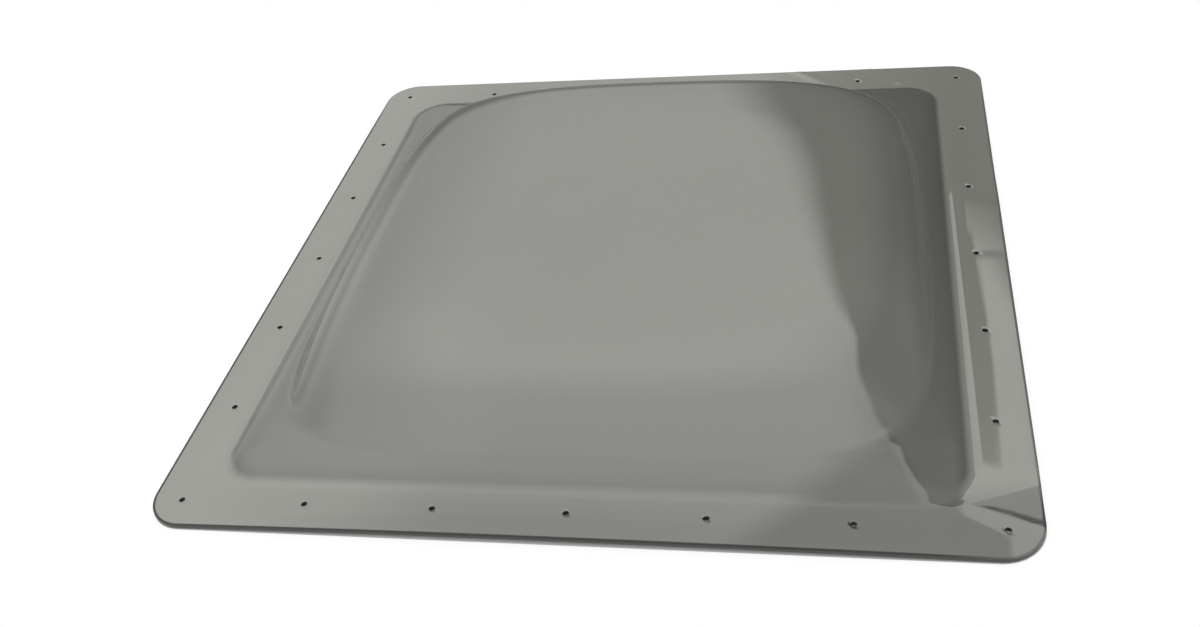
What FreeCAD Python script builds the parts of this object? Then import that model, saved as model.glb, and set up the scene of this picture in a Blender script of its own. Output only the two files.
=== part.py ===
# One-piece skylight for a camper roof: a smoke-tinted plastic sheet with a dome blown up
# from its middle and a flat flange all round, drilled for a ring of roof screws.
# Millimetres. The origin is the centre of the flange's underside, and +Z is up, out of the roof.

import FreeCAD
import Part
import Sketcher

import math
import os

from FreeCAD import Vector

# Driving sizes

SIZES = (
    ("outer_width", 660.4, "flange from edge to edge, both ways"),
    ("outer_corner_radius", 32.0, "corner of the flange, seen from above"),
    ("sheet_thickness", 3.2, "flange, as the sheet was before it was blown"),
    ("flange_width", 43.7, "flat flange, from its edge to the foot of the dome"),
    ("foot_corner_radius", 35.0, "corner of the dome's foot, seen from above"),
    ("hole_edge_distance", 25.4, "centre of a screw hole to the flange's edge"),
    ("hole_diameter", 4.8, "screw hole"),
    ("hole_spaces", 6, "spaces between holes along one side"),
    ("dome_height", 63.5, "top of the crown above the top of the flange"),
    ("crown_thickness", 2.4, "sheet at the crown, where it has stretched most"),
    ("foot_blend", 2.5, "half the width over which the flange turns up at the foot"),
    ("toe_rise", 9.5, "quick lift of the sheet at the foot"),
    ("toe_width", 35.0, "width of that quick lift"),
    ("apron_rise", 8.5, "slower lift that goes on behind the toe"),
    ("apron_width", 85.0, "width of the slower lift"),
    ("apron_corner", 90.0, "corner of the slower lift, seen from above"),
    ("wall_inset", 4.0, "foot of the dome to the blown form's own square"),
    ("wall_sink", 40.0, "blown form's own edge below the lifted sheet, which rounds its corners"),
    ("wall_blend", 3.5, "height over which the sheet turns up into the wall"),
    ("plan_power", 2.6, "how square the dome is: 2 is a pure bubble"),
    ("fullness", 3.7, "how soon the wall turns over into the crown: 1 is a pure bubble"),
    ("seam_margin", 3.0, "flat strip beyond the foot that the dome's surface carries along"),
)

# How finely the dome's surface is drawn: spans each way, how far they crowd towards the foot
# (0 is even), the surface's degree, and the step that slopes are measured over

SPANS = 44
EDGE_CROWDING = 0.72
DEGREE = 3
SLOPE_STEP = 0.05

CLOSE = 1e-4

Constraint = Sketcher.Constraint
doc = FreeCAD.newDocument("Skylight")


# Sheet of driving sizes

sheet = doc.addObject("Spreadsheet::Sheet", "sizes")
for row, (name, value, meaning) in enumerate(SIZES, start=1):
    sheet.set("A%d" % row, name)
    sheet.set("B%d" % row, str(value))
    sheet.set("C%d" % row, meaning)
    sheet.setAlias("B%d" % row, name)
doc.recompute()


def size(name):
    """A driving size, read back from the sheet."""
    return float(getattr(sheet, name))


# Helpers for sketches

def origin_plane(body, role):
    """The body's own origin plane with this role."""
    for feature in body.Origin.OriginFeatures:
        if feature.Role == role:
            return feature
    raise RuntimeError("no origin plane " + role)


def new_sketch(body, name):
    """A sketch on the body's XY plane."""
    sketch = body.newObject("Sketcher::SketchObject", name)
    sketch.AttachmentSupport = [(origin_plane(body, "XY_Plane"), "")]
    sketch.MapMode = "FlatFace"
    return sketch


def draw_centred_square(sketch, width_expression, start_width):
    """Four lines, square and centred on the origin, whose width follows an expression."""
    half = start_width / 2.0
    corners = [Vector(-half, -half, 0), Vector(half, -half, 0), Vector(half, half, 0), Vector(-half, half, 0)]
    for start, end in zip(corners, corners[1:] + corners[:1]):
        sketch.addGeometry(Part.LineSegment(start, end), False)
    for line in range(4):
        sketch.addConstraint(Constraint("Coincident", line, 2, (line + 1) % 4, 1))
    for line, direction in enumerate(("Horizontal", "Vertical", "Horizontal", "Vertical")):
        sketch.addConstraint(Constraint(direction, line))
    sketch.addConstraint(Constraint("Symmetric", 0, 1, 1, 2, -1, 1))
    for line, label in ((0, "width"), (1, "depth")):
        index = sketch.addConstraint(Constraint("Distance", line, start_width))
        sketch.renameConstraint(index, label)
        sketch.setExpression("Constraints." + label, width_expression)


# Flange: a flat square frame with rounded corners and a ring of screw holes

def make_flange():
    """The flat frame round the dome."""
    body = doc.addObject("PartDesign::Body", "flange")

    outline = new_sketch(body, "flange_outline")
    draw_centred_square(outline, "sizes.outer_width", size("outer_width"))
    plate = body.newObject("PartDesign::Pad", "flange_plate")
    plate.Profile = outline
    plate.setExpression("Length", "sizes.sheet_thickness")
    doc.recompute()

    corner = size("outer_width") / 2.0
    upright_edges = []
    for number, edge in enumerate(plate.Shape.Edges, start=1):
        middle = edge.CenterOfMass
        if abs(abs(middle.x) - corner) < CLOSE and abs(abs(middle.y) - corner) < CLOSE:
            upright_edges.append("Edge%d" % number)
    rounded = body.newObject("PartDesign::Fillet", "rounded_corners")
    rounded.Base = (plate, upright_edges)
    rounded.setExpression("Radius", "sizes.outer_corner_radius")
    doc.recompute()

    window = new_sketch(body, "dome_window")
    seam_width = "sizes.outer_width - 2 * sizes.flange_width + 2 * sizes.seam_margin"
    draw_centred_square(window, seam_width, 2.0 * seam_half())
    opening = body.newObject("PartDesign::Pocket", "dome_opening")
    opening.Profile = window
    opening.Type = "ThroughAll"
    opening.Midplane = True
    doc.recompute()

    first_hole = new_sketch(body, "first_screw_hole")
    row_half = "sizes.outer_width / 2 - sizes.hole_edge_distance"
    place = -(size("outer_width") / 2.0 - size("hole_edge_distance"))
    circle = Part.Circle(Vector(place, place, 0), Vector(0, 0, 1), size("hole_diameter") / 2.0)
    first_hole.addGeometry(circle, False)
    for kind, label in (("DistanceX", "across"), ("DistanceY", "along")):
        index = first_hole.addConstraint(Constraint(kind, 0, 3, -1, 1, -place))
        first_hole.renameConstraint(index, label)
        first_hole.setExpression("Constraints." + label, row_half)
    index = first_hole.addConstraint(Constraint("Diameter", 0, size("hole_diameter")))
    first_hole.renameConstraint(index, "bore")
    first_hole.setExpression("Constraints.bore", "sizes.hole_diameter")
    hole = body.newObject("PartDesign::Pocket", "screw_hole")
    hole.Profile = first_hole
    hole.Type = "ThroughAll"
    hole.Midplane = True
    doc.recompute()

    # One side's row stops a space short of the next corner, then the row is turned to all four sides
    ring = body.newObject("PartDesign::MultiTransform", "screw_hole_ring")
    ring.Originals = [hole]
    side_row = body.newObject("PartDesign::LinearPattern", "side_row")
    side_row.Direction = (first_hole, ["H_Axis"])
    side_row.setExpression("Length", "2 * (" + row_half + ") * (sizes.hole_spaces - 1) / sizes.hole_spaces")
    side_row.setExpression("Occurrences", "sizes.hole_spaces")
    four_sides = body.newObject("PartDesign::PolarPattern", "four_sides")
    four_sides.Axis = (first_hole, ["N_Axis"])
    four_sides.Angle = 360.0
    four_sides.Occurrences = 4
    ring.Transformations = [side_row, four_sides]
    body.Tip = ring
    doc.recompute()
    return body


# Dome: heights above the flat sheet, from a formula

def foot_half():
    """Half the width of the dome at the line where the sheet starts to lift."""
    return size("outer_width") / 2.0 - size("flange_width")


def seam_half():
    """Half the width of the square where the dome's surface meets the flange."""
    return foot_half() + size("seam_margin")


def distance_inside_foot(x, y, corner_radius):
    """Distance inside the foot's square with its corners rounded to this radius."""
    straight = foot_half() - corner_radius
    across = abs(x) - straight
    along = abs(y) - straight
    beyond = math.hypot(max(across, 0.0), max(along, 0.0))
    return corner_radius - beyond - min(max(across, along), 0.0)


def eased_start(value, blend):
    """The value above zero and nothing below it, with the bend spread over the blend each way."""
    if value < -blend:
        return 0.0
    if value < blend:
        return (value + blend) ** 2 / (4.0 * blend)
    return value


def toe_height(x, y):
    """The quick lift just inside the foot."""
    inside = eased_start(distance_inside_foot(x, y, size("foot_corner_radius")), size("foot_blend"))
    share = min(inside / size("toe_width"), 1.0)
    return size("toe_rise") * (1.0 - (1.0 - share) ** 3)


def apron_height(x, y):
    """The slower lift that goes on behind the toe."""
    share = min(max(distance_inside_foot(x, y, size("apron_corner")) / size("apron_width"), 0.0), 1.0)
    return size("apron_rise") * share * share * (3.0 - 2.0 * share)


def bubble(x, y):
    """The blown form, from 0 on its own square to 1 at the crown."""
    half = foot_half() - size("wall_inset")
    across = 1.0 - abs(x / half) ** size("plan_power")
    along = 1.0 - abs(y / half) ** size("plan_power")
    inside = across * along if across > 0 and along > 0 else min(across, along)
    return 1.0 - max(1.0 - inside, 0.0) ** size("fullness")


def dome_rise(x, y):
    """Height of the sheet above its flat flange at this place."""
    wall_rise = size("dome_height") - size("toe_rise") - size("apron_rise")
    wall = (wall_rise + size("wall_sink")) * bubble(x, y) - size("wall_sink")
    return eased_start(wall, size("wall_blend")) + toe_height(x, y) + apron_height(x, y)


def outward(x, y):
    """The direction square to the sheet's upper face."""
    slope_x = (dome_rise(x + SLOPE_STEP, y) - dome_rise(x - SLOPE_STEP, y)) / (2.0 * SLOPE_STEP)
    slope_y = (dome_rise(x, y + SLOPE_STEP) - dome_rise(x, y - SLOPE_STEP)) / (2.0 * SLOPE_STEP)
    return Vector(-slope_x, -slope_y, 1.0).normalize()


def wall_thickness(x, y):
    """The sheet thins in step with how far it was blown up."""
    thinning = size("sheet_thickness") - size("crown_thickness")
    return size("sheet_thickness") - thinning * dome_rise(x, y) / size("dome_height")


def span_ends():
    """Places of the surface's span ends along one axis, closer together towards the foot."""
    ends = []
    for step in range(SPANS + 1):
        share = 2.0 * step / SPANS - 1.0
        eased = (1.0 - EDGE_CROWDING) * share + EDGE_CROWDING * math.sin(share * math.pi / 2.0)
        ends.append(seam_half() * eased)
    return ends


def pole_places(ends):
    """Places of the surface's poles along one axis, so that the surface's own x and y stay even."""
    knots = [ends[0]] * DEGREE + ends + [ends[-1]] * DEGREE
    return [sum(knots[i + 1:i + 1 + DEGREE]) / DEGREE for i in range(len(ends) + DEGREE - 1)]


def surface(poles, ends):
    """A smooth surface through a square net of poles."""
    ends_held = [DEGREE + 1] + [1] * (len(ends) - 2) + [DEGREE + 1]
    sheet_face = Part.BSplineSurface()
    sheet_face.buildFromPolesMultsKnots(poles, ends_held, ends_held, ends, ends, False, False, DEGREE, DEGREE)
    return sheet_face.toShape()


def side_strip(upper_face, lower_face, number):
    """The strip between one edge of the upper face and the edge below it."""
    upper = upper_face.Edges[number]
    middle = upper.CenterOfMass
    lower = min(lower_face.Edges, key=lambda edge: edge.CenterOfMass.distanceToPoint(middle))
    return Part.makeRuledSurface(upper, lower)


def make_blown_dome():
    """The domed middle of the sheet, out to its seam with the flange."""
    ends = span_ends()
    places = pole_places(ends)
    flat_top = size("sheet_thickness")
    upper_poles = []
    lower_poles = []
    for x in places:
        upper_row = [Vector(x, y, flat_top + dome_rise(x, y)) for y in places]
        lower_row = [pole - outward(x, pole.y) * wall_thickness(x, pole.y) for pole in upper_row]
        upper_poles.append(upper_row)
        lower_poles.append(lower_row)
    upper_face = surface(upper_poles, ends)
    lower_face = surface(lower_poles, ends)
    strips = [side_strip(upper_face, lower_face, number) for number in range(4)]
    shell = Part.makeShell([upper_face, lower_face] + strips)
    shell.sewShape()
    solid = Part.makeSolid(shell)
    if solid.Volume < 0:
        solid.reverse()
    dome = doc.addObject("Part::Feature", "blown_dome")
    dome.Shape = solid
    dome.Placement = FreeCAD.Placement()
    return dome


# Whole sheet

flange = make_flange()
blown_dome = make_blown_dome()
skylight = doc.addObject("Part::Fuse", "skylight_dome")
skylight.Label = "skylight_dome"
skylight.Base = flange
skylight.Tool = blown_dome
skylight.Placement = FreeCAD.Placement()
doc.recompute()

SUB_PARTS = [skylight]


# Checks before anything is written

for thing in doc.Objects:
    if "Invalid" in thing.State or "Error" in thing.State:
        raise RuntimeError("failed: " + thing.Label)
for part in SUB_PARTS:
    if part.Shape.isNull() or not part.Shape.isValid():
        raise RuntimeError("bad shape: " + part.Label)

os.makedirs("parts", exist_ok=True)
for part in SUB_PARTS:
    part.Shape.exportStep("parts/" + part.Label + ".step")
    box = part.Shape.BoundBox
    print(part.Label, "solids", len(part.Shape.Solids), "faces", len(part.Shape.Faces))
    print("  size", round(box.XLength, 2), round(box.YLength, 2), round(box.ZLength, 2))
    print("  volume cm3", round(part.Shape.Volume / 1000.0, 2))
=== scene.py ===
import math

import bmesh
import bpy
import numpy as np
from bpy.props import FloatProperty, FloatVectorProperty, PointerProperty
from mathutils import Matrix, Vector


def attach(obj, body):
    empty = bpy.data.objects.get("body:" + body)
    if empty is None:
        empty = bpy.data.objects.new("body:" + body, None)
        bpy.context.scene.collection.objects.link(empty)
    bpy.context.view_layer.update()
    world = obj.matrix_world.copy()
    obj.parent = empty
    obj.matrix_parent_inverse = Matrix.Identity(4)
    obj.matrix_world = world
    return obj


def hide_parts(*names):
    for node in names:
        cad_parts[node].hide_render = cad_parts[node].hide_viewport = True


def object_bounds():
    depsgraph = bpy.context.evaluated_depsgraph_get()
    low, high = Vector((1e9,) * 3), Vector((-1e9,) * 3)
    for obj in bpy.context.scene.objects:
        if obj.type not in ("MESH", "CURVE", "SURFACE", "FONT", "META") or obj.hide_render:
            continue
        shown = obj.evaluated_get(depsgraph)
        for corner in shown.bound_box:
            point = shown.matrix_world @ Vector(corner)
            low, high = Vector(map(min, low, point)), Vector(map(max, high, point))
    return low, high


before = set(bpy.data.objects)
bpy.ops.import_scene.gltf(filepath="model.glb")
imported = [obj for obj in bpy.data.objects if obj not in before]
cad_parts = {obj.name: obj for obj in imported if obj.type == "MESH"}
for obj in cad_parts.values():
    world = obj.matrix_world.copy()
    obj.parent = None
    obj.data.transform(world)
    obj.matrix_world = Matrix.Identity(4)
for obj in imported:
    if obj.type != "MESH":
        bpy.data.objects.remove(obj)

# A smoke-tinted plastic skylight for a camper roof: one sheet with a blown dome and a flat
# drilled flange. Metres throughout. The origin is the centre of the flange's underside.

bl_info = {
    "name": "Roof skylight",
    "version": (1, 0, 0),
    "blender": (4, 5, 0),
    "location": "View3D > Sidebar > Skylight",
    "description": "Models a one-piece blown roof skylight and the studio around it",
    "category": "Add Mesh",
}

MM = 0.001
CAD_BOX = [list(corner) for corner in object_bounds()]
CAD_WIDTH = CAD_BOX[1][0] - CAD_BOX[0][0]
CAD_HEIGHT = CAD_BOX[1][2] - CAD_BOX[0][2]


# Sizes and colours that a user would change

def length(name, description, millimetres):
    """A property for a length, with its default given in millimetres."""
    return FloatProperty(name=name, description=description, default=millimetres * MM, unit="LENGTH",
                         precision=5)


def colour(name, description, value):
    """A property for a linear colour."""
    return FloatVectorProperty(name=name, description=description, default=value, size=3, subtype="COLOR",
                               min=0, max=1)


class SkylightSheetSettings(bpy.types.PropertyGroup):
    """The blown sheet."""

    outer_width: FloatProperty(name="Outer width", description="Flange from edge to edge",
                               default=CAD_WIDTH, unit="LENGTH", precision=5)
    outer_corner_radius: length("Outer corner radius", "Corner of the flange, seen from above", 32.0)
    sheet_thickness: length("Sheet thickness", "Flange, as the sheet was before it was blown", 3.2)
    crown_thickness: length("Crown thickness", "Sheet at the crown, where it stretched most", 2.4)
    flange_width: length("Flange width", "From the edge to the foot of the dome", 43.7)
    foot_corner_radius: length("Foot corner radius", "Corner of the dome's foot, seen from above", 35.0)
    hole_pitch: length("Hole pitch", "Centre to centre of neighbouring screw holes", 101.6)
    hole_edge_distance: length("Hole to edge", "Centre of a screw hole to the flange's edge", 25.4)
    hole_diameter: length("Hole diameter", "Screw hole", 4.8)
    foot_blend: length("Foot blend", "Half the width over which the flange turns up at the foot", 2.5)
    toe_rise: length("Toe rise", "Quick lift of the sheet at the foot", 9.5)
    toe_width: length("Toe width", "Width of that lift", 35.0)
    apron_rise: length("Apron rise", "Slower lift that goes on behind the toe", 8.5)
    apron_width: length("Apron width", "Width of the slower lift", 85.0)
    apron_corner: length("Apron corner", "Corner of the slower lift, seen from above", 90.0)
    wall_inset: length("Wall inset", "Foot of the dome to the blown form's own square", 4.0)
    wall_sink: length("Wall sink", "Blown form's own edge below the lifted sheet", 40.0)
    wall_blend: length("Wall blend", "Height over which the sheet turns up into the wall", 3.5)
    plan_power: FloatProperty(name="Plan power", default=2.6,
                              description="How square the dome is: 2 is a pure bubble")
    fullness: FloatProperty(name="Fullness", default=3.7,
                            description="How soon the wall turns over: 1 is a pure bubble")
    near_bow: length("Near bow", "Lift of the near edge between its corners", 3.2)
    wave_height: length("Wave height", "Gutter in the right of the flange, from unequal cooling", 1.8)
    ripple_height: length("Ripple height", "Folds in the near right corner and the far side", 0.42)
    edge_round: length("Edge rounding", "Small round on the cut edges", 0.25)
    smoke: colour("Smoke", "Tint of the plastic", (0.124, 0.125, 0.112))
    edge: colour("Cut edge", "Saw-cut rim and drilled bores", (0.030, 0.030, 0.027))


class SkylightStudioSettings(bpy.types.PropertyGroup):
    """The floor, the light and the camera."""

    floor_size: FloatProperty(name="Floor size", description="Width of the floor",
                              default=0.68, unit="LENGTH")
    floor_colour: colour("Floor", "Pale matt floor", (0.80, 0.80, 0.80))
    camera_place: FloatVectorProperty(name="Camera place", description="Where the camera stands", size=3,
                                      default=(0.2099, -0.8425, 0.6489), subtype="TRANSLATION")
    camera_turn: FloatVectorProperty(name="Camera turn", description="How the camera is turned", size=3,
                                     default=(0.882173, 0.127571, 0.155105), subtype="EULER")
    camera_lens: FloatProperty(name="Lens", description="Focal length in millimetres", default=35.524)
    camera_shift: FloatVectorProperty(name="Camera shift", size=2, default=(-0.0193, -0.0046),
                                      description="Share of the picture's width that it is moved by")


# Heights of the sheet, the same form as the CAD solid's

def sheet_settings():
    """The sheet's settings in this scene."""
    return bpy.context.scene.skylight_sheet


def distance_inside_foot(x, y, corner_radius):
    """Distance inside the foot's square with its corners rounded to this radius, for arrays of places."""
    s = sheet_settings()
    straight = s.outer_width / 2 - s.flange_width - corner_radius
    across = np.abs(x) - straight
    along = np.abs(y) - straight
    beyond = np.hypot(np.maximum(across, 0), np.maximum(along, 0))
    return corner_radius - beyond - np.minimum(np.maximum(across, along), 0)


def eased_start(value, blend):
    """The value above zero and nothing below it, with the bend spread over the blend each way."""
    bend = (value + blend) ** 2 / (4 * blend)
    return np.where(value < -blend, 0, np.where(value < blend, bend, value))


def dome_rise(x, y):
    """Height of the sheet above its flat flange, for arrays of places."""
    s = sheet_settings()
    toe = eased_start(distance_inside_foot(x, y, s.foot_corner_radius), s.foot_blend)
    toe_height = s.toe_rise * (1 - (1 - np.clip(toe / s.toe_width, 0, 1)) ** 3)
    apron = np.clip(distance_inside_foot(x, y, s.apron_corner) / s.apron_width, 0, 1)
    apron_height = s.apron_rise * apron * apron * (3 - 2 * apron)
    half = s.outer_width / 2 - s.flange_width - s.wall_inset
    across = 1 - np.abs(x / half) ** s.plan_power
    along = 1 - np.abs(y / half) ** s.plan_power
    inside = np.where((across > 0) & (along > 0), across * along, np.minimum(across, along))
    bubble = 1 - np.maximum(1 - inside, 0) ** s.fullness
    crown = CAD_HEIGHT - s.sheet_thickness
    wall = (crown - s.toe_rise - s.apron_rise + s.wall_sink) * bubble - s.wall_sink
    return eased_start(wall, s.wall_blend) + toe_height + apron_height


def smooth(value, low, high):
    """0 below low, 1 above high, and a smooth rise between them, for arrays."""
    share = np.clip((value - low) / (high - low), 0, 1)
    return share * share * (3 - 2 * share)


# Waves of the flange: a gutter along the right side that widens towards the near end, a pointed fold
# in the near right corner, and slanting folds across the far side. A pair of places is where a wave
# begins and where it is full

GUTTER_CREST = 3.0 * MM
GUTTER_TROUGH = 9.0 * MM
GUTTER_WIDENING = 13.0 * MM
GUTTER_WIDENS = (-0.10, 0.16)
GUTTER_ENDS = (0.07, 0.13)
ARROW_TIP = (0.278, 0.283)
ARROW_SPREAD = 0.38
ARROW_FROM_LEFT = (0.262, 0.280)
ARROW_FROM_FAR = (0.255, 0.270)
ARROW_FROM_FOOT = (1.0 * MM, 6.0 * MM)
FOLD_SLANT = 1.1
FOLD_PLACES = (0.502, 0.575)
FOLD_SHARE = 0.8
FOLDS_FROM_FOOT = (0.288, 0.298)
RIPPLE_WIDTH = 4.5 * MM


def flange_wave(x, y):
    """The small waves of a flange that cooled unevenly, never below the flat sheet."""
    s = sheet_settings()
    out = -distance_inside_foot(x, y, s.foot_corner_radius)
    half = s.outer_width / 2
    bow = s.near_bow * np.maximum(1 - (x / half) ** 2, 0) * smooth(out, 0, s.flange_width) * (y < 0)
    along = smooth(y, -half + s.flange_width, -half + 2 * s.flange_width) * (1 - smooth(y, *GUTTER_ENDS))
    trough = GUTTER_TROUGH + GUTTER_WIDENING * smooth(-y, *GUTTER_WIDENS)
    gutter = smooth(out, 0, GUTTER_CREST) - np.clip((out - GUTTER_CREST) / (trough - GUTTER_CREST), 0, 1)
    gutter = gutter + np.clip((out - trough) / (s.flange_width - trough), 0, 1)
    right = s.wave_height * along * gutter * (x > 0)
    arrow = np.abs(y + ARROW_TIP[1]) - ARROW_SPREAD * (x - ARROW_TIP[0])
    corner = smooth(x, *ARROW_FROM_LEFT) * smooth(-y, *ARROW_FROM_FAR) * smooth(out, *ARROW_FROM_FOOT)
    ripple = s.ripple_height * corner * np.exp(-(arrow / RIPPLE_WIDTH) ** 2)
    slant = x + FOLD_SLANT * y
    folds = sum(np.exp(-((slant - spot) / RIPPLE_WIDTH) ** 2) for spot in FOLD_PLACES)
    far = FOLD_SHARE * s.ripple_height * folds * smooth(y, *FOLDS_FROM_FOOT)
    return bow + right + ripple + far


# Modelling helpers

def deselect_all():
    """Nothing is selected and nothing is being edited."""
    if bpy.context.object and bpy.context.object.mode != "OBJECT":
        bpy.ops.object.mode_set(mode="OBJECT")
    bpy.ops.object.select_all(action="DESELECT")


def places_of(mesh):
    """A mesh's vertex places as an array."""
    places = np.zeros(len(mesh.vertices) * 3)
    mesh.vertices.foreach_get("co", places)
    return places.reshape(-1, 3)


def move_to(mesh, places):
    """Puts a mesh's vertices at these places."""
    mesh.vertices.foreach_set("co", places.ravel())
    mesh.update()


def apply_modifier(obj, kind, **settings):
    """Adds a modifier to the object and applies it."""
    bpy.context.view_layer.objects.active = obj
    modifier = obj.modifiers.new(kind.lower(), kind)
    for name, value in settings.items():
        setattr(modifier, name, value)
    bpy.ops.object.modifier_apply(modifier=modifier.name)


# Making the sheet

# How the net is laid: a collar of lines round each hole, the spacing of the lines on the crown, the
# wall and the flange, how far inside the CAD's outline the net ends, and how far from the middle of a
# corner's arc the net begins to bend

COLLAR = 5.0 * MM
CROWN_SPACING = 7.0 * MM
WALL_SPACING = 1.9 * MM
FLANGE_SPACING = 2.4 * MM
WALL_START = 240.0 * MM
EDGE_CLEARANCE = 0.4 * MM
SAME_PLACE = 0.001 * MM
CORNER_START = 12.0 * MM
SMALLEST_BEND = 1e-6
BORE_SEGMENTS = 7
AT_CENTRE = 0.1 * MM
IN_BORE = 1.02
ON_BORE = 1.2
CUT_ANGLE = 60
SMOOTH_ANGLE = 40


def hole_places():
    """Centres of the screw holes, round the flange."""
    s = sheet_settings()
    row = s.outer_width / 2 - s.hole_edge_distance
    steps = round(2 * row / s.hole_pitch)
    stops = [-row + i * 2 * row / steps for i in range(steps + 1)]
    return [(x, y) for x in stops for y in stops if max(abs(x), abs(y)) > row - COLLAR]


def grid_lines():
    """Places of the net's lines along one axis: through every hole and closer on the wall."""
    s = sheet_settings()
    half = s.outer_width / 2 - EDGE_CLEARANCE
    foot = s.outer_width / 2 - s.flange_width
    stops = sorted({round(x, 6) for x, y in hole_places() if x > -COLLAR})
    fixed = {0.0, COLLAR, WALL_START, foot + WALL_SPACING, half}
    for stop in stops:
        if stop > COLLAR:
            fixed |= {stop - COLLAR, stop, stop + COLLAR}
    fixed = sorted(fixed)
    lines = [fixed[0]]
    for start, end in zip(fixed, fixed[1:]):
        middle = (start + end) / 2
        spacing = FLANGE_SPACING
        if middle < foot:
            spacing = CROWN_SPACING if middle < WALL_START else WALL_SPACING
        is_collar = abs(end - start - COLLAR) < SAME_PLACE
        count = 1 if is_collar else max(1, math.ceil((end - start) / spacing))
        lines += [start + (end - start) * (i + 1) / count for i in range(count)]
    return [-line for line in reversed(lines[1:])] + lines


def round_outline(places):
    """Turns the net's four square corners into the flange's round ones."""
    s = sheet_settings()
    half = s.outer_width / 2 - EDGE_CLEARANCE
    radius = s.outer_corner_radius
    start = half - radius
    p = np.abs(places[:, 0]) - start
    q = np.abs(places[:, 1]) - start
    ring = np.maximum(p, q)
    chosen = (p > 0) & (q > 0) & (ring > CORNER_START)
    ring = np.where(chosen, ring, radius)
    bend = radius * np.clip((ring - CORNER_START) / (radius - CORNER_START), SMALLEST_BEND, 1)
    straight = ring - bend
    reach = straight + bend * math.pi / 4
    low = np.minimum(p, q)
    run = np.clip(low / ring, 0, 1) * reach
    angle = np.maximum(run - straight, 0) / bend
    far = np.where(run <= straight, ring, straight + bend * np.cos(angle))
    near = np.where(run <= straight, run, straight + bend * np.sin(angle))
    new_p = np.where(p >= q, far, near)
    new_q = np.where(p >= q, near, far)
    places[:, 0] = np.where(chosen, np.sign(places[:, 0]) * (start + new_p), places[:, 0])
    places[:, 1] = np.where(chosen, np.sign(places[:, 1]) * (start + new_q), places[:, 1])


def add_net(lines):
    """A flat net with these lines both ways."""
    s = sheet_settings()
    deselect_all()
    count = len(lines) - 1
    bpy.ops.mesh.primitive_grid_add(x_subdivisions=count, y_subdivisions=count, size=s.outer_width,
                                    location=(0, 0, 0))
    obj = bpy.context.object
    places = places_of(obj.data)
    numbers = np.rint((places[:, :2] / s.outer_width + 0.5) * count).astype(int)
    spots = np.array(lines)
    places[:, 0] = spots[numbers[:, 0]]
    places[:, 1] = spots[numbers[:, 1]]
    move_to(obj.data, places)
    return obj


def drill_holes(obj):
    """Opens a round hole at every crossing of the net that a screw goes through."""
    s = sheet_settings()
    radius = s.hole_diameter / 2
    centres = np.array(hole_places())
    bpy.ops.object.mode_set(mode="EDIT")
    bpy.ops.mesh.select_mode(type="VERT")
    bpy.ops.mesh.select_all(action="DESELECT")
    mesh = bmesh.from_edit_mesh(obj.data)
    for vertex in mesh.verts:
        gaps = np.hypot(centres[:, 0] - vertex.co.x, centres[:, 1] - vertex.co.y)
        vertex.select = bool(gaps.min() < AT_CENTRE)
    mesh.select_flush_mode()
    bmesh.update_edit_mesh(obj.data)
    bpy.ops.mesh.bevel(affect="VERTICES", offset_type="OFFSET", offset=radius, segments=BORE_SEGMENTS,
                       profile=0.5)
    mesh = bmesh.from_edit_mesh(obj.data)
    mesh.verts.ensure_lookup_table()
    for face in mesh.faces:
        face.select = False
    doomed = []
    for face in mesh.faces:
        spots = [vertex.co for vertex in face.verts]
        gaps = [np.hypot(centres[:, 0] - spot.x, centres[:, 1] - spot.y).min() for spot in spots]
        if max(gaps) < radius * IN_BORE:
            doomed.append(face)
    for face in doomed:
        face.select = True
    bpy.ops.mesh.delete(type="FACE")
    mesh = bmesh.from_edit_mesh(obj.data)
    for vertex in mesh.verts:
        if not any(edge.is_boundary for edge in vertex.link_edges):
            continue
        offsets = centres - np.array(vertex.co[:2])
        nearest = int(np.hypot(offsets[:, 0], offsets[:, 1]).argmin())
        away = Vector(vertex.co[:2]) - Vector(centres[nearest])
        if away.length < radius * ON_BORE:
            away = away.normalized() * radius
            vertex.co.x = centres[nearest][0] + away.x
            vertex.co.y = centres[nearest][1] + away.y
    bmesh.update_edit_mesh(obj.data)
    bpy.ops.object.mode_set(mode="OBJECT")


def raise_sheet(obj):
    """Lifts the net to the height of the sheet's upper face."""
    s = sheet_settings()
    places = places_of(obj.data)
    rise = dome_rise(places[:, 0], places[:, 1])
    places[:, 2] = s.sheet_thickness + rise + flange_wave(places[:, 0], places[:, 1])
    move_to(obj.data, places)
    thinned = obj.vertex_groups.new(name="thickness")
    thinning = 1 - s.crown_thickness / s.sheet_thickness
    crown = CAD_HEIGHT - s.sheet_thickness
    for number, height in enumerate(rise):
        thinned.add([number], float(1 - thinning * height / crown), "REPLACE")


def make_sheet():
    """The whole sheet as one closed mesh."""
    s = sheet_settings()
    obj = add_net(grid_lines())
    obj.name = "skylight_sheet"
    places = places_of(obj.data)
    round_outline(places)
    move_to(obj.data, places)
    drill_holes(obj)
    raise_sheet(obj)
    obj.data.materials.append(smoke_plastic())
    obj.data.materials.append(cut_edge())
    apply_modifier(obj, "SOLIDIFY", thickness=s.sheet_thickness, offset=-1, use_even_offset=True,
                   vertex_group="thickness", material_offset_rim=1)
    apply_modifier(obj, "BEVEL", width=s.edge_round, segments=2, limit_method="ANGLE",
                   angle_limit=math.radians(CUT_ANGLE))
    # The offset underside dips a hair below the roof where the sheet turns up
    places = places_of(obj.data)
    places[:, 2] = np.maximum(places[:, 2], 0)
    move_to(obj.data, places)
    bpy.ops.object.select_all(action="DESELECT")
    obj.select_set(True)
    bpy.ops.object.shade_smooth_by_angle(angle=math.radians(SMOOTH_ANGLE))
    return obj


# Shader maths as expressions

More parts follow.
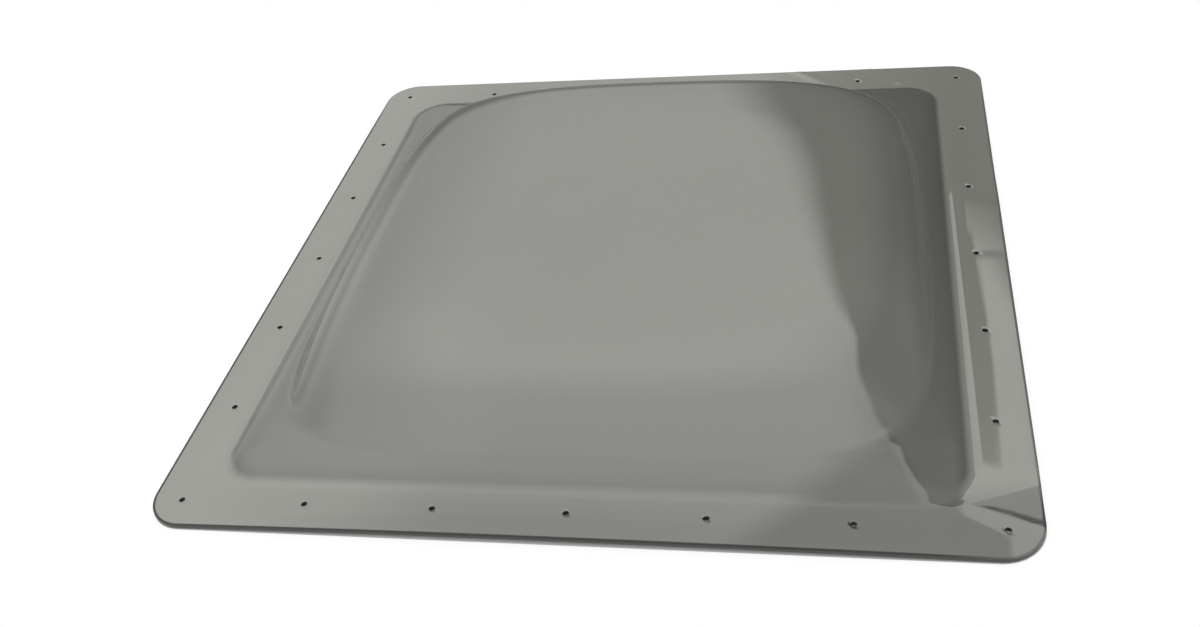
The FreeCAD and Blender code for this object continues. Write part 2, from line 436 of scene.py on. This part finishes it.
class Socket:
    """A shader socket that can be added, multiplied and compared like a number."""

    def __init__(self, material, socket):
        self.material = material
        self.socket = socket

    def maths(self, operation, *others):
        return self.material.node("ShaderNodeMath", {"operation": operation}, self, *others)

    def __add__(self, other):
        return self.maths("ADD", other)

    def __sub__(self, other):
        return self.maths("SUBTRACT", other)

    def __mul__(self, other):
        return self.maths("MULTIPLY", other)

    def __pow__(self, other):
        return self.maths("POWER", other)

    def __neg__(self):
        return self * -1

    def __rsub__(self, other):
        return self.material.node("ShaderNodeMath", {"operation": "SUBTRACT"}, other, self)

    __radd__ = __add__
    __rmul__ = __mul__

    def clamp(self):
        """The value held between 0 and 1."""
        return self.material.node("ShaderNodeClamp", {}, self)

    def step(self, low, high):
        """0 below low, 1 above high, and a smooth rise between them."""
        settings = {"interpolation_type": "SMOOTHSTEP"}
        return self.material.node("ShaderNodeMapRange", settings, self, low, high, 0.0, 1.0)

    def profile(self, stops):
        """A value that runs straight from stop to stop, each a place and a height."""
        total = self.ramp(stops[0][0] - 1, stops[0][0]) * stops[0][1]
        for (start, low), (end, high) in zip(stops, stops[1:]):
            total = total + self.ramp(start, end) * (high - low)
        return total

    def ramp(self, low, high):
        """0 below low, 1 above high, and a straight rise between them."""
        settings = {"interpolation_type": "LINEAR"}
        return self.material.node("ShaderNodeMapRange", settings, self, low, high, 0.0, 1.0)


class NodeTree:
    """A material or a world whose nodes are written as calls."""

    def __init__(self, owner):
        owner.use_nodes = True
        self.tree = owner.node_tree
        self.tree.nodes.clear()

    def node(self, kind, settings, *values, output=0, **named):
        """Adds a node, sets it up, fills its sockets in order or by name, and gives an output back."""
        made = self.tree.nodes.new(kind)
        for name, value in settings.items():
            setattr(made, name, value)
        sockets = list(zip(made.inputs, values))
        for name, value in named.items():
            sockets.append((made.inputs[name.replace("_", " ")], value))
        for socket, value in sockets:
            if isinstance(value, Socket):
                self.tree.links.new(value.socket, socket)
            elif value is not None:
                socket.default_value = value
        return Socket(self, made.outputs[output]) if made.outputs else None


def full_colour(rgb):
    """A colour with its alpha."""
    return (rgb[0], rgb[1], rgb[2], 1.0)


# Materials. The plastic's colour is painted paler and darker from place to place, as a share of its own
# colour: painted light and painted shade that stand for the room's reflections, for the floor seen through
# the flange and for the shade low on the wall. A row of stops gives a place and a share each. A pair named
# for the side it is entered from is where a zone begins and where it is full

PLASTIC_INDEX = 1.585
OPACITY = 0.92
# Painted shade: the wall darker the lower it is
PAINTED_SHADING_BY_HEIGHT = ((0.008, 0.58), (0.014, 0.79), (0.020, 0.92), (0.050, 0.94))
# Painted light: the crown paler, all but its left part
CROWN_PAINTED_LIGHT = 0.40
CROWN_FROM_BELOW = (0.050, 0.063)
CROWN_FROM_LEFT = (-0.19, -0.10)
# Painted light and shade on the flange: paler than the dome, and changing from left to right
PAINTED_SHADING_OF_FLANGE = ((-0.30, 1.73), (-0.20, 1.45), (0.0, 1.60), (0.17, 2.05), (0.30, 1.62))
PAINTED_SHADING_OF_NEAR_FLANGE = ((-0.30, 1.70), (-0.17, 1.52), (-0.10, 1.12), (0.10, 1.07))
NEAR_FLANGE_FROM_FAR = (0.258, 0.288)
FLANGE_FROM_ABOVE = (0.0075, 0.0045)

# Painted light and shade on the foot along the left side of the dome

LEFT_FOOT_PAINTED_SHADING = 0.78
LEFT_FOOT_FROM_RIGHT = (0.255, 0.270)
LEFT_FOOT_FROM_NEAR = (-0.235, -0.200)
LEFT_FOOT_FROM_ABOVE = (0.035, 0.020)
LEFT_FOOT_FROM_BELOW = (0.0045, 0.007)

# Painted shade in the near right corner: its flange, and its toe to the left and to the right of a slanting
# line

NEAR_RIGHT_PAINTED_SHADE = 0.32
NEAR_RIGHT_FROM_MIDDLE = (0.425, 0.475)
NEAR_RIGHT_FROM_RIGHT = (0.278, 0.272)
NEAR_RIGHT_FROM_FAR = (0.218, 0.238)
LOW_FROM_ABOVE = (0.021, 0.017)
TOE_END = 2.5 * MM
CORNER_SLANT = 0.43
CORNER_PAINTED_SHADES = (0.10, 0.87)
CORNER_SHADE_EDGE = (0.120, 0.136)

# Painted shade on the pointed fold in the near right corner, and on the flange on the near side of a
# slanting line there

ARROW_PAINTED_SHADE = 0.60
ARROW_SHADE_FROM_LEFT = (0.276, 0.284)
ARROW_SHADE_FROM_OUTSIDE = (0.0, -0.002)
BAND_PAINTED_SHADE = 0.30
BAND_SLANT = 0.62
BAND_FROM_NEAR = (0.120, 0.123)
BAND_FROM_LEFT = (0.262, 0.270)
BAND_FROM_RIGHT = (0.308, 0.303)

# How far the shading normal turns to the right on the toe of the near right corner, as a slope

FALL_EDGE = (0.114, 0.141)
FALL_FROM_RIGHT = (0.280, 0.268)
FALL_FROM_FAR = (0.195, 0.215)
FALL = 0.26
NEAR_FALL = 0.24
NEAR_FALL_FROM_FAR = (0.245, 0.275)

# Haze, dust and gloss

HAZE_TINTS = (0.97, 1.03)
DUST_TINT = 0.25
DUST_SPOTS = (0.66, 0.74)
GLOSS = 0.025
HAZE_ROUGHNESS = 0.02
DUST_ROUGHNESS = 0.2

# The cut edge, and painted shade on the last millimetres of the sheet's upper face, in the cut edge's
# colour, less so on the far and right sides

SAW_ROUGHNESS = (0.3, 0.55)
RIM_SHADE = 0.85
RIGHT_RIM_LOSS = 0.5
RIM_SHADE_FROM_INSIDE = (2.2 * MM, 1.4 * MM)
FAR_RIM = (0.24, 0.31)
RIGHT_RIM = (0.25, 0.31)


def blended(first, second, share):
    """The first value where the share is 0 and the second where it is 1."""
    return first + share * (second - first)


def toe_share(y):
    """1 on the dome's side of the near foot and 0 on the near flange."""
    s = sheet_settings()
    foot = s.outer_width / 2 - s.flange_width
    return (-y).ramp(foot, foot - TOE_END)


def painted_shading_share(x, y, height):
    """The share of the plastic's own colour at each place, with painted light and shade that make it paler
    in some places and darker in others.
    """
    flange = x.profile(PAINTED_SHADING_OF_FLANGE)
    flange = blended(flange, x.profile(PAINTED_SHADING_OF_NEAR_FLANGE), (-y).step(*NEAR_FLANGE_FROM_FAR))
    crown = height.ramp(*CROWN_FROM_BELOW) * x.step(*CROWN_FROM_LEFT)
    tone_with_painted_light = height.profile(PAINTED_SHADING_BY_HEIGHT) + CROWN_PAINTED_LIGHT * crown
    tone_with_painted_light = blended(tone_with_painted_light, flange, height.ramp(*FLANGE_FROM_ABOVE))
    left_foot = (-x).step(*LEFT_FOOT_FROM_RIGHT) * y.step(*LEFT_FOOT_FROM_NEAR)
    left_foot = left_foot * height.ramp(*LEFT_FOOT_FROM_ABOVE) * height.step(*LEFT_FOOT_FROM_BELOW)
    tone_with_painted_light = blended(tone_with_painted_light, LEFT_FOOT_PAINTED_SHADING, left_foot)
    near_right = (x - y).step(*NEAR_RIGHT_FROM_MIDDLE) * height.ramp(*LOW_FROM_ABOVE)
    near_right = near_right * x.ramp(*NEAR_RIGHT_FROM_RIGHT) * (-y).step(*NEAR_RIGHT_FROM_FAR)
    corner = blended(*CORNER_PAINTED_SHADES, (x + CORNER_SLANT * y).step(*CORNER_SHADE_EDGE))
    tone_with_painted_light = blended(tone_with_painted_light, blended(NEAR_RIGHT_PAINTED_SHADE, corner, toe_share(y)), near_right)
    arrow = (y + ARROW_TIP[1]).maths("ABSOLUTE") - (x - ARROW_TIP[0]) * ARROW_SPREAD
    arrow = x.step(*ARROW_SHADE_FROM_LEFT) * arrow.ramp(*ARROW_SHADE_FROM_OUTSIDE)
    tone_with_painted_light = blended(tone_with_painted_light, ARROW_PAINTED_SHADE, arrow)
    band = (-y - BAND_SLANT * x).ramp(*BAND_FROM_NEAR) * x.step(*BAND_FROM_LEFT) * x.ramp(*BAND_FROM_RIGHT)
    return blended(tone_with_painted_light, BAND_PAINTED_SHADE, band)


def toe_normal(m, x, y, height):
    """The surface's normal, turned to the right where the near right corner of the toe falls away."""
    fall = (x + CORNER_SLANT * y).step(*FALL_EDGE) * x.ramp(*FALL_FROM_RIGHT) * (-y).step(*FALL_FROM_FAR)
    fall = fall * height.ramp(*LOW_FROM_ABOVE) * toe_share(y)
    fall = fall * (FALL + NEAR_FALL * (-y).step(*NEAR_FALL_FROM_FAR))
    normal = m.node("ShaderNodeNewGeometry", {}, output="Normal")
    turn = m.node("ShaderNodeCombineXYZ", {}, fall)
    normal = m.node("ShaderNodeVectorMath", {"operation": "ADD"}, normal, turn)
    return m.node("ShaderNodeVectorMath", {"operation": "NORMALIZE"}, normal)


def rim_shade_share(x, y):
    """How much painted shade, in the cut edge's colour, lies on the sheet's last millimetres."""
    s = sheet_settings()
    corner = s.outer_width / 2 - EDGE_CLEARANCE - s.outer_corner_radius
    across, along = ((part.maths("ABSOLUTE") - corner).maths("MAXIMUM", 0.0) for part in (x, y))
    inward = s.outer_corner_radius - (across * across + along * along) ** 0.5
    shade = RIM_SHADE * inward.ramp(*RIM_SHADE_FROM_INSIDE)
    return shade * (1 - y.step(*FAR_RIM)) * (1 - RIGHT_RIM_LOSS * x.step(*RIGHT_RIM))


def smoke_plastic():
    """Glossy smoke plastic that lets a little light through, with haze, a little dust, a slow swell, and
    painted light and shade in its colour.
    """
    s = sheet_settings()
    material = bpy.data.materials.new("smoke_plastic")
    m = NodeTree(material)
    back = m.node("ShaderNodeNewGeometry", {}, output="Backfacing")
    place = m.node("ShaderNodeTexCoord", {}, output="Object")
    x, y, height = (m.node("ShaderNodeSeparateXYZ", {}, place, output=axis) for axis in "XYZ")
    haze = m.node("ShaderNodeTexNoise", {}, place, Scale=9.0, Detail=3.0, Roughness=0.55)
    dust = m.node("ShaderNodeTexNoise", {}, place, Scale=1400.0, Detail=2.0, Roughness=0.6).step(*DUST_SPOTS)
    swell = m.node("ShaderNodeTexNoise", {}, place, Scale=7.0, Detail=1.0, Roughness=0.4)
    # The plastic's colour: painted light and shade from place to place, times a random haze, plus dust
    share = painted_shading_share(x, y, height) * blended(*HAZE_TINTS, haze) + DUST_TINT * dust
    tone_with_painted_light = m.node("ShaderNodeVectorMath", {"operation": "SCALE"}, s.smoke, Scale=share)
    roughness = GLOSS + HAZE_ROUGHNESS * haze + DUST_ROUGHNESS * dust
    normal = m.node("ShaderNodeBump", {}, Strength=0.35, Distance=0.0006, Height=swell,
                    Normal=toe_normal(m, x, y, height))
    outside = m.node("ShaderNodeBsdfPrincipled", {}, Base_Color=tone_with_painted_light, Roughness=roughness, IOR=PLASTIC_INDEX,
                     Specular_IOR_Level=0.5 / OPACITY, Alpha=OPACITY, Normal=normal)
    # Painted shade along the rim, in the cut edge's colour
    cut = m.node("ShaderNodeBsdfDiffuse", {}, full_colour(s.edge))
    outside = m.node("ShaderNodeMixShader", {}, rim_shade_share(x, y), outside, cut)
    clear = m.node("ShaderNodeBsdfTransparent", {}, (1, 1, 1, 1))
    matt = m.node("ShaderNodeBsdfDiffuse", {}, full_colour(s.smoke))
    inside = m.node("ShaderNodeMixShader", {}, OPACITY, clear, matt)
    m.node("ShaderNodeOutputMaterial", {}, m.node("ShaderNodeMixShader", {}, back, outside, inside))
    return material


def cut_edge():
    """Saw-cut plastic, dark because light runs a long way inside the sheet."""
    s = sheet_settings()
    material = bpy.data.materials.new("cut_edge")
    m = NodeTree(material)
    place = m.node("ShaderNodeTexCoord", {}, output="Object")
    grain = m.node("ShaderNodeTexNoise", {}, place, Scale=900.0, Detail=3.0, Roughness=0.6)
    surface = m.node("ShaderNodeBsdfPrincipled", {}, Base_Color=full_colour(s.edge), IOR=PLASTIC_INDEX,
                     Roughness=blended(*SAW_ROUGHNESS, grain))
    m.node("ShaderNodeOutputMaterial", {}, surface)
    return material


# Studio

FLOOR_GAP = 0.5 * MM
FLOOR_GLOW = 1.1
FLOOR_GLOW_SHARE = 0.75


def floor_material():
    """Pale floor that stays white to the camera, all but the shade that the sheet lies in."""
    s = sheet_settings()
    studio = bpy.context.scene.skylight_studio
    material = bpy.data.materials.new("pale_floor")
    m = NodeTree(material)
    place = m.node("ShaderNodeTexCoord", {}, output="Object")
    corner = s.outer_width / 2 - s.outer_corner_radius
    sides = [m.node("ShaderNodeSeparateXYZ", {}, place, output=axis) for axis in "XY"]
    across, along = ((side.maths("ABSOLUTE") - corner).maths("MAXIMUM", 0.0) for side in sides)
    outside = ((across * across + along * along) ** 0.5).maths("GREATER_THAN", s.outer_corner_radius)
    kinds = ("Is Camera Ray", "Is Glossy Ray", "Is Transmission Ray")
    camera, glossy, through = (m.node("ShaderNodeLightPath", {}, output=kind) for kind in kinds)
    seen = (camera + glossy + through).clamp()
    plain = m.node("ShaderNodeBsdfDiffuse", {}, full_colour(studio.floor_colour))
    white = m.node("ShaderNodeEmission", {}, (1, 1, 1, 1), FLOOR_GLOW)
    surface = m.node("ShaderNodeMixShader", {}, seen * outside * FLOOR_GLOW_SHARE, plain, white)
    m.node("ShaderNodeOutputMaterial", {}, surface)
    return material


# How bright the room is that the gloss mirrors, by the parts of a direction of length 1. Its left,
# near and upper parts are bright, by how far the direction points up or to the near side. Its far
# right is dark, by how far the direction points to the far side. The two meet at a place from left
# to right that depends on that too. Low on the left there is more light, and the floor is dimmer

BRIGHT_SIDE = ((0.0, 0.25), (0.17, 0.95), (0.30, 1.15), (0.48, 1.65), (0.57, 2.05), (0.66, 2.5),
               (0.80, 2.9), (0.93, 3.35))
DARK_SIDE = ((0.0, 1.25), (0.30, 0.80), (0.55, 0.64), (0.68, 0.58), (0.82, 0.20))
MEETING = ((-1.0, 0.90), (-0.02, 0.71), (0.51, 0.45), (0.68, 0.19), (0.82, -0.005), (0.88, -0.068))
MEETING_EDGE = (-0.05, 0.05)
NEAR_LIGHT_FROM_FLOOR = (0.12, 0.28)
LEFT_LIFT = 0.06
LEFT_LIFT_EDGE = (0.30, 0.42)
LOW_LIGHT = 0.6
LOW_LIGHT_FROM_MIDDLE = (0.50, 0.75)
LOW_LIGHT_FROM_ABOVE = (0.70, 0.20)
FLOOR_DIMMING = 0.4
FLOOR_EDGE = (-0.30, 0.15)
ROOM_TONE = (-0.01, 0.0, -0.05)


def studio_light():
    """Plain soft light, and for what the gloss mirrors a room that is bright on the left and overhead."""
    world = bpy.data.worlds.new("studio")
    bpy.context.scene.world = world
    m = NodeTree(world)
    direction = m.node("ShaderNodeTexCoord", {}, output="Generated")
    x, y, z = (m.node("ShaderNodeSeparateXYZ", {}, direction, output=axis) for axis in "XYZ")
    near = (-y).maths("MAXIMUM", 0.0) * z.ramp(*NEAR_LIGHT_FROM_FLOOR)
    over = (z.maths("MAXIMUM", 0.0) ** 2 + near * near) ** 0.5
    bright_side = over.profile(BRIGHT_SIDE) * (1 + LEFT_LIFT * (-x).step(*LEFT_LIFT_EDGE))
    low_light = (-x).step(*LOW_LIGHT_FROM_MIDDLE) * z.ramp(*LOW_LIGHT_FROM_ABOVE)
    bright_side = bright_side + LOW_LIGHT * low_light
    dark_side = y.profile(DARK_SIDE) * (FLOOR_DIMMING + (1 - FLOOR_DIMMING) * z.step(*FLOOR_EDGE))
    room = blended(bright_side, dark_side, (x - y.profile(MEETING)).step(*MEETING_EDGE))
    glossy_ray = m.node("ShaderNodeLightPath", {}, output="Is Glossy Ray")
    tone = m.node("ShaderNodeVectorMath", {"operation": "MULTIPLY_ADD"}, glossy_ray, ROOM_TONE, (1, 1, 1))
    background = m.node("ShaderNodeBackground", {}, tone, 1 + glossy_ray * (room - 1))
    m.node("ShaderNodeOutputWorld", {}, background)


def place_camera():
    """The camera in front of the near edge, a little to its right."""
    studio = bpy.context.scene.skylight_studio
    bpy.ops.object.camera_add(location=studio.camera_place, rotation=studio.camera_turn)
    camera = bpy.context.object
    camera.data.sensor_width = 36.0
    camera.data.lens = studio.camera_lens
    camera.data.shift_x, camera.data.shift_y = studio.camera_shift
    camera.data.clip_start = 0.01
    bpy.context.scene.camera = camera


# Operators and panel

class SkylightSheetOperator(bpy.types.Operator):
    """Models the blown sheet and puts it in the CAD solid's place"""

    bl_idname = "skylight.blown_sheet"
    bl_label = "Blown sheet"

    def execute(self, context):
        obj = make_sheet()
        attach(obj, "root")
        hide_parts("skylight_dome")
        return {"FINISHED"}


class SkylightStudioOperator(bpy.types.Operator):
    """Lays the floor, lights the room and places the camera"""

    bl_idname = "skylight.studio"
    bl_label = "Studio"

    def execute(self, context):
        deselect_all()
        studio = context.scene.skylight_studio
        bpy.ops.mesh.primitive_plane_add(size=studio.floor_size, location=(0, 0, -FLOOR_GAP))
        floor = context.object
        floor.name = "floor"
        floor.data.materials.append(floor_material())
        studio_light()
        place_camera()
        context.scene.view_settings.view_transform = "Standard"
        return {"FINISHED"}


class SkylightPanel(bpy.types.Panel):
    """Lists the skylight's settings and steps in the sidebar."""

    bl_idname = "SKYLIGHT_PT_panel"
    bl_label = "Skylight"
    bl_space_type = "VIEW_3D"
    bl_region_type = "UI"
    bl_category = "Skylight"

    def draw(self, context):
        for settings, operator in ((context.scene.skylight_sheet, SkylightSheetOperator),
                                   (context.scene.skylight_studio, SkylightStudioOperator)):
            box = self.layout.box()
            for name in settings.__annotations__:
                box.prop(settings, name)
            box.operator(operator.bl_idname)


CLASSES = (SkylightSheetSettings, SkylightStudioSettings, SkylightSheetOperator, SkylightStudioOperator,
           SkylightPanel)


def register():
    for cls in CLASSES:
        bpy.utils.register_class(cls)
    bpy.types.Scene.skylight_sheet = PointerProperty(type=SkylightSheetSettings)
    bpy.types.Scene.skylight_studio = PointerProperty(type=SkylightStudioSettings)


def unregister():
    del bpy.types.Scene.skylight_studio
    del bpy.types.Scene.skylight_sheet
    for cls in reversed(CLASSES):
        bpy.utils.unregister_class(cls)


def main():
    register()
    bpy.ops.skylight.blown_sheet()
    bpy.ops.skylight.studio()


if __name__ == "__main__":
    main()
